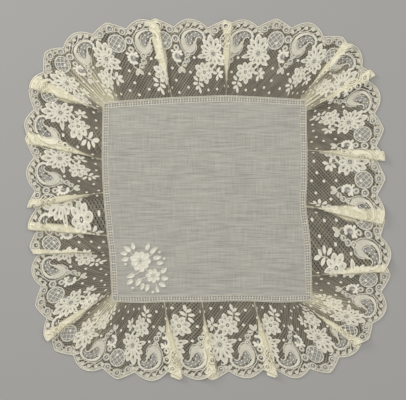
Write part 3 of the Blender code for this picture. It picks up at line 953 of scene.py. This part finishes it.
# The large flower: uneven petals, the longest towards the edge, round an open centre.
FLOWER = (54.8, 45.3)
flower_rays = (
    Ray(99, 21.0, 8.0),
    Ray(125, 18.5, 6.6),
    Ray(149, 16.5, 6.0),
    Ray(171, 14.0, 5.0),
    Ray(191, 20.0, 5.2),
    Ray(217, 12.0, 5.8),
    Ray(247, 12.5, 6.0),
    Ray(281, 13.0, 6.4),
    Ray(313, 16.5, 7.8),
    Ray(341, 16.0, 6.0),
    Ray(72, 18.0, 7.8),
    Ray(47, 14.0, 6.6),
    Ray(10, 10.5, 4.6),
)
work_flower(*FLOWER, 3.2, flower_rays, slit=0.22)
work_ring(Ring(*FLOWER, 3.0, 0.8), height=0.8)
for turn in (15, 75, 135):
    x = math.cos(math.radians(turn))
    y = math.sin(math.radians(turn))
    ends = [(FLOWER[0] + reach * x, FLOWER[1] + reach * y) for reach in (-2.6, 2.6)]
    work_stem(ends, half_width=0.3)

# The small flower with the leaf sprays at its foot and beside it.
SMALL_FLOWER = (42.2, 25.8)
small_rays = [
    Ray(12 + 45 * index, 12.0 + 1.1 * math.sin(2.4 * index), 6.6 + 0.6 * math.cos(1.9 * index))
    for index in range(8)
]
work_flower(*SMALL_FLOWER, 1.5, small_rays, slit=0.16)
work_dot(*SMALL_FLOWER, 1.0, height=0.8)
leaves = (
    Petal(32.6, 17.0, 27.6, 22.0, 3.8),
    Petal(32.2, 14.6, 25.6, 14.0, 3.6),
    Petal(34.0, 14.8, 39.6, 10.6, 3.8),
    Petal(33.2, 11.6, 28.4, 8.0, 3.4),
    Petal(33.6, 10.6, 34.6, 3.4, 3.6),
    Petal(58.4, 24.4, 52.4, 25.6, 3.6),
    Petal(59.0, 25.4, 62.4, 31.0, 3.6),
    Petal(60.2, 24.6, 67.0, 26.0, 3.8),
    Petal(60.0, 23.4, 66.4, 19.4, 3.8),
    Petal(59.0, 22.8, 58.2, 16.2, 3.8),
    Petal(56.6, 33.0, 52.6, 29.6, 2.8),
)
for leaf in leaves:
    work_petal(leaf, middle=0.6)
work_stem(((34.0, 8.0), (33.4, 13.0), (34.6, 17.4), (38.0, 21.2)), half_width=0.6)
work_stem(((59.2, 22.4), (58.2, 26.0), (57.0, 31.0), (56.4, 36.4)), half_width=0.6)

# The paisley: a bowl of close toile, a crescent that curls over to its tip, and openwork
# between them.
PAISLEY = (27.6, 52.3)
bowl = (
    Bend(7.6, 6.4, 0.9),
    Bend(6.2, 1.8, 2.4),
    Bend(3.8, -1.8, 4.2),
    Bend(0.0, -3.4, 5.0),
    Bend(-3.6, -1.4, 5.0),
    Bend(-5.4, 2.4, 4.2),
    Bend(-5.8, 6.2, 3.5),
    Bend(-4.8, 10.0, 2.8),
)
crescent = (
    Bend(-6.4, 8.6, 1.2),
    Bend(-5.2, 11.4, 2.0),
    Bend(-2.6, 14.4, 2.0),
    Bend(1.6, 16.9, 1.5),
    Bend(6.6, 18.0, 1.0),
    Bend(11.8, 17.4, 1.0),
    Bend(16.2, 14.8, 1.3),
    Bend(18.4, 11.0, 1.8),
    Bend(17.6, 7.6, 1.7),
    Bend(15.2, 7.0, 1.0),
)
hook = (
    Bend(14.6, 9.0, 0.7),
    Bend(12.4, 10.6, 0.7),
    Bend(9.8, 9.8, 0.8),
    Bend(8.2, 7.4, 1.0),
    Bend(8.0, 4.6, 0.8),
)
rim_places = (
    (8.6, 2.6), (7.6, -2.8), (4.0, -7.2), (-1.4, -8.4), (-6.6, -5.6), (-9.5, -0.4), (-10.2, 5.0),
    (-10.0, 9.4), (-8.4, 13.0), (-4.0, 17.2), (2.0, 19.2), (8.4, 19.6), (14.2, 17.8), (18.8, 14.0),
)
inner_rim_places = (
    (6.2, 5.8), (4.2, 2.6), (1.6, 0.6), (-0.8, 2.0), (-2.2, 5.6), (-2.0, 9.8), (0.6, 13.4),
)
work_scroll(*PAISLEY, bowl, height=0.36)
work_scroll(*PAISLEY, crescent)
work_scroll(*PAISLEY, hook)
work_scroll(*PAISLEY, [Bend(x, y, 0.45) for x, y in rim_places], height=0.8)
work_scroll(*PAISLEY, [Bend(x, y, 0.4) for x, y in inner_rim_places], height=0.7)
openwork = (
    (1.6, 3.6), (0.4, 9.8), (3.4, 7.6), (4.2, 13.0), (7.0, 10.8), (8.8, 14.8), (12.2, 12.8),
)
for x, y in openwork:
    work_dot(PAISLEY[0] + x, PAISLEY[1] + y, 0.85)
bars = (
    ((-2.2, 6.8), (0.4, 9.8), (3.4, 7.6), (5.4, 5.4)),
    ((-1.0, 3.0), (1.6, 3.6), (3.4, 7.6)),
    ((3.4, 16.8), (4.2, 13.0), (3.4, 7.6)),
    ((0.4, 9.8), (4.2, 13.0), (8.8, 14.8), (13.0, 16.4)),
    ((7.0, 17.6), (8.8, 14.8), (7.0, 10.8), (8.6, 8.6)),
    ((4.2, 13.0), (7.0, 10.8), (12.2, 12.8), (16.0, 12.6)),
)
for bar in bars:
    work_stem([(PAISLEY[0] + x, PAISLEY[1] + y) for x, y in bar], half_width=0.3)

# Feathers between the paisley and the edge: slanting stems with lobes that hang between them.
for x, y in ((-11.0, 14.6), (-4.6, 17.4), (2.8, 19.4), (10.4, 18.9), (17.6, 15.6)):
    foot = (PAISLEY[0] + x, PAISLEY[1] + y)
    work_stem((foot, (foot[0] + 3.2, foot[1] + 2.6), (foot[0] + 5.4, foot[1] + 6.6)), 0.85)
for x, y in ((-11.4, 17.6), (-5.2, 21.4), (2.0, 23.8), (9.4, 24.2), (16.0, 21.6), (20.8, 17.2)):
    top = (PAISLEY[0] + x, PAISLEY[1] + y)
    work_petal(Petal(top[0], top[1] + 1.6, top[0] - 0.8, top[1] - 2.6, 4.2))

# Rings, a beaded scroll, small leaves and dots that fill in between the larger motifs.
rings = (
    Ring(-14.2, 70.8, 3.1, 1.1),
    Ring(-2.6, 75.0, 3.1, 1.1),
    Ring(9.0, 70.8, 3.1, 1.1),
    Ring(13.6, 61.0, 3.2, 1.4),
    Ring(24.2, 44.8, 2.6, 1.1),
    Ring(22.9, 38.8, 2.6, 1.1),
    Ring(19.2, 34.4, 2.2, 1.1),
    Ring(12.8, 51.6, 2.3, 1.6),
    Ring(-17.6, 63.6, 2.6, 1.3, 30, 270),
)
for ring in rings:
    work_ring(ring)
for ring in rings[:7]:
    work_dot(ring.x, ring.y - 0.8, 0.9)
SCROLL = (12.6, 42.6)
SCROLL_BEADS = 9
for index in range(SCROLL_BEADS):
    turn = math.radians(-70 - 33 * index)
    work_dot(SCROLL[0] + 5.0 * math.cos(turn), SCROLL[1] + 5.0 * math.sin(turn), 1.9, height=0.5)
work_ring(Ring(*SCROLL, 3.3, 0.6, -60, -280))
work_petal(Petal(13.2, 42.0, 13.0, 46.0, 1.8, 0.0))
work_dot(17.0, 47.8, 1.7)
work_dot(7.4, 48.4, 1.8)
work_petal(Petal(14.2, 31.8, 10.6, 25.0, 4.4, 0.3))
work_petal(Petal(14.6, 31.8, 18.2, 25.4, 4.4, 0.3))
work_stem(((14.4, 31.0), (16.4, 33.0), (18.4, 33.6)), half_width=0.8)
work_stem(((14.0, 31.0), (10.6, 34.0), (9.6, 37.4)), half_width=0.8)

# Dots scattered on the open net near the heading.
net_dots = (
    (6.3, 5.4), (19.4, 10.4), (45.6, 7.0), (57.8, 7.6), (69.6, 10.6), (31.6, 41.2), (24.8, 26.0),
    (3.6, 30.6), (5.4, 18.0), (66.8, 34.0),
)
for x, y in net_dots:
    work_dot(x, y, 1.75)

# The outer edge, a thick beaded cord with a thin one inside it, and the whipped heading.
EDGE_STEPS = 72
EDGE_CORD_INSET = 0.6
INNER_CORD_INSET = 3.2
HEADING_INSET = 0.5
edge_cord = []
inner_cord = []
heading_cord = []
for step in range(EDGE_STEPS + 1):
    x = (step / EDGE_STEPS - 0.5) * repeat_length
    reach = float(scallop_edge(np.array([FIRST_MEDALLION + x]))[0]) * LACE_WIDTH
    edge_cord.append((x, reach - EDGE_CORD_INSET, 0.0))
    inner_cord.append((x, reach - INNER_CORD_INSET, 0.0))
    heading_cord.append((x, HEADING_INSET, 0.0))
rolled_cord(worked_mesh, edge_cord, 1.05, 0.42, beads=0.25)
rolled_cord(worked_mesh, inner_cord[::2], 0.4, 0.25)
rolled_cord(worked_mesh, heading_cord, 0.5, 0.3, beads=0.15)

flat_mesh = bpy.data.meshes.new("worked_mesh")
worked_mesh.to_mesh(flat_mesh)
worked_mesh.free()
repeat_groups = np.array_split(np.arange(PATTERN_REPEATS), 4)
for group, side_name in zip(repeat_groups, side_names):
    work_mesh = bmesh.new()
    starts = []
    for repeat in group:
        work_mesh.from_mesh(flat_mesh)
        starts += [FIRST_MEDALLION + repeat * repeat_length] * len(flat_mesh.vertices)
    flat = np.array([vertex.co[:] for vertex in work_mesh.verts])
    along = flat[:, 0] + np.array(starts)
    across = np.minimum(flat[:, 1] / LACE_WIDTH, scallop_edge(along))
    lay_mesh(work_mesh, along, across, flat[:, 2] + TOILE_LIFT, np.zeros_like(along))
    name = f"lace_pattern_{side_name}"
    piece = finish_piece(name, work_mesh, toile, ["lace_edging"])
bpy.data.meshes.remove(flat_mesh)

# The spray in the lower left corner of the batiste. A large and a small flower with buds and
# leaves, worked through the cloth in cream thread: padded satin stitch, and stem stitch stalks.
SPRAY_CENTRE = (-65.5, -70.0)
SPRAY_REST = BATISTE_REST + 0.1
SPRAY_HEIGHT = 0.9
LARGE_SPRAY_FLOWER = (-4.0, 6.0)
SMALL_SPRAY_FLOWER = (9.0, -9.0)
SATIN_COLOUR = (0.86, 0.83, 0.72, 1.0)
SATIN_SHADE = (0.72, 0.68, 0.55, 1.0)
satin_stitch = cloth_material(
    "satin_stitch", SATIN_COLOUR, SATIN_SHADE, "object", 0.0006, 0.004, 0.8, roughness=0.55
)
worked_mesh = bmesh.new()
spray_rays = [Ray(40 * index, 11.0 + 0.8 * math.sin(2.1 * index), 6.4) for index in range(9)]
small_spray_rays = [Ray(20 + 51.4 * index, 7.8, 4.8) for index in range(7)]
work_flower(*LARGE_SPRAY_FLOWER, 2.4, spray_rays, slit=0.0)
work_ring(Ring(*LARGE_SPRAY_FLOWER, 1.9, 0.7), height=1.0)
work_flower(*SMALL_SPRAY_FLOWER, 1.8, small_spray_rays, slit=0.0)
work_ring(Ring(*SMALL_SPRAY_FLOWER, 1.3, 0.55), height=SPRAY_HEIGHT)
spray_leaves = (
    Petal(-14.0, 16.0, -21.5, 21.5, 5.0, -0.2),
    Petal(-11.0, 18.0, -12.5, 25.5, 4.6, -0.2),
    Petal(-16.0, 9.0, -24.0, 7.0, 4.8, -0.2),
    Petal(6.0, 14.0, 12.5, 20.5, 4.8, -0.2),
    Petal(9.0, 9.0, 17.5, 10.5, 4.8, -0.2),
    Petal(-10.0, -8.0, -18.5, -10.5, 4.8, -0.2),
    Petal(-4.0, -12.0, -9.0, -20.0, 4.8, -0.2),
    Petal(4.0, -18.0, 1.5, -25.5, 4.6, -0.2),
    Petal(15.0, -17.0, 22.5, -20.0, 4.6, -0.2),
    Petal(17.0, -6.0, 23.5, -1.0, 4.6, -0.2),
    Petal(12.0, -20.5, 14.5, -26.5, 4.0, 0.3),
    Petal(-17.5, 14.0, -25.0, 14.2, 4.4, -0.2),
    Petal(2.0, 17.5, 5.0, 25.0, 4.6, -0.2),
    Petal(12.5, 4.0, 20.0, 4.6, 4.4, -0.2),
    Petal(-12.0, -13.0, -18.0, -18.0, 4.6, -0.2),
    Petal(-1.0, -16.5, -3.6, -24.0, 4.4, -0.2),
    Petal(17.5, -12.0, 25.0, -11.6, 4.4, -0.2),
)
for leaf in spray_leaves:
    work_petal(leaf, SPRAY_HEIGHT)
spray_buds = (
    (-19.6, 3.0), (-12.6, 3.6), (3.4, 20.6), (15.6, 15.4), (20.4, 8.8), (-12.0, -21.6),
    (8.6, -26.0),
)
for x, y in spray_buds:
    work_dot(x, y, 1.5, height=SPRAY_HEIGHT)
work_stem(((-21.0, 20.0), (-14.0, 14.5), (-10.0, 11.0)))
work_stem(((14.0, 20.5), (8.0, 13.0), (2.0, 9.0)))
work_stem(((-17.0, -10.0), (-9.0, -7.5), (-4.0, -4.0), (0.0, -1.0), (5.0, -5.0)))
work_stem(((-8.0, -18.5), (-3.0, -12.0), (3.0, -9.5)))
work_stem(((14.0, -25.0), (12.5, -19.0), (10.5, -15.0)))
bmesh.ops.translate(worked_mesh, vec=(*SPRAY_CENTRE, SPRAY_REST), verts=worked_mesh.verts)
scale_to_metres(worked_mesh)
finish_piece("corner_spray", worked_mesh, satin_stitch, ["centre_cloth"])

# Floor, lights and camera. A plain pale floor, one broad soft light overhead and a weaker
# one from the upper left that brings out the relief. The camera looks straight down.
FLOOR_SIZE = 6.0
FLOOR_DROP = 0.0002
FLOOR_COLOUR = (0.365, 0.358, 0.342, 1.0)
STUDIO_COLOUR = (1.0, 0.99, 0.97, 1.0)
STUDIO_STRENGTH = 0.34
PHOTO_WIDTH = 0.4202
VIEW_CENTRE = (-0.005, -0.0005)
CAMERA_HEIGHT = 1.7
SENSOR_WIDTH = 36.0
bpy.ops.mesh.primitive_plane_add(size=FLOOR_SIZE, location=(0.0, 0.0, -FLOOR_DROP))
floor = bpy.context.object
floor.name = "floor"
floor_paint = bpy.data.materials.new("floor_paint")
floor_paint.use_nodes = True
floor_shader = floor_paint.node_tree.nodes["Principled BSDF"].inputs
floor_shader["Base Color"].default_value = FLOOR_COLOUR
floor_shader["Roughness"].default_value = 0.9
floor.data.materials.append(floor_paint)

SoftLight = namedtuple("SoftLight", "name place size watts")
for light in (
    SoftLight("overhead", (0.1, 0.2, 1.6), 1.6, 17.0),
    SoftLight("upper_left", (-1.1, 0.9, 0.55), 0.5, 10.0),
):
    lamp_data = bpy.data.lights.new(light.name, "AREA")
    lamp_data.energy = light.watts
    lamp_data.size = light.size
    lamp = bpy.data.objects.new(light.name, lamp_data)
    lamp.location = light.place
    lamp.rotation_euler = (-Vector(light.place)).to_track_quat("-Z", "Y").to_euler()
    bpy.context.scene.collection.objects.link(lamp)
world = bpy.data.worlds.new("studio")
world.use_nodes = True
studio = world.node_tree.nodes["Background"].inputs
studio["Color"].default_value = STUDIO_COLOUR
studio["Strength"].default_value = STUDIO_STRENGTH
bpy.context.scene.world = world
bpy.context.scene.view_settings.view_transform = "Standard"

camera_data = bpy.data.cameras.new("camera")
camera_data.sensor_width = SENSOR_WIDTH
camera_data.lens = SENSOR_WIDTH * CAMERA_HEIGHT / PHOTO_WIDTH
camera = bpy.data.objects.new("camera", camera_data)
camera.location = (*VIEW_CENTRE, CAMERA_HEIGHT)
bpy.context.scene.collection.objects.link(camera)
bpy.context.scene.camera = camera
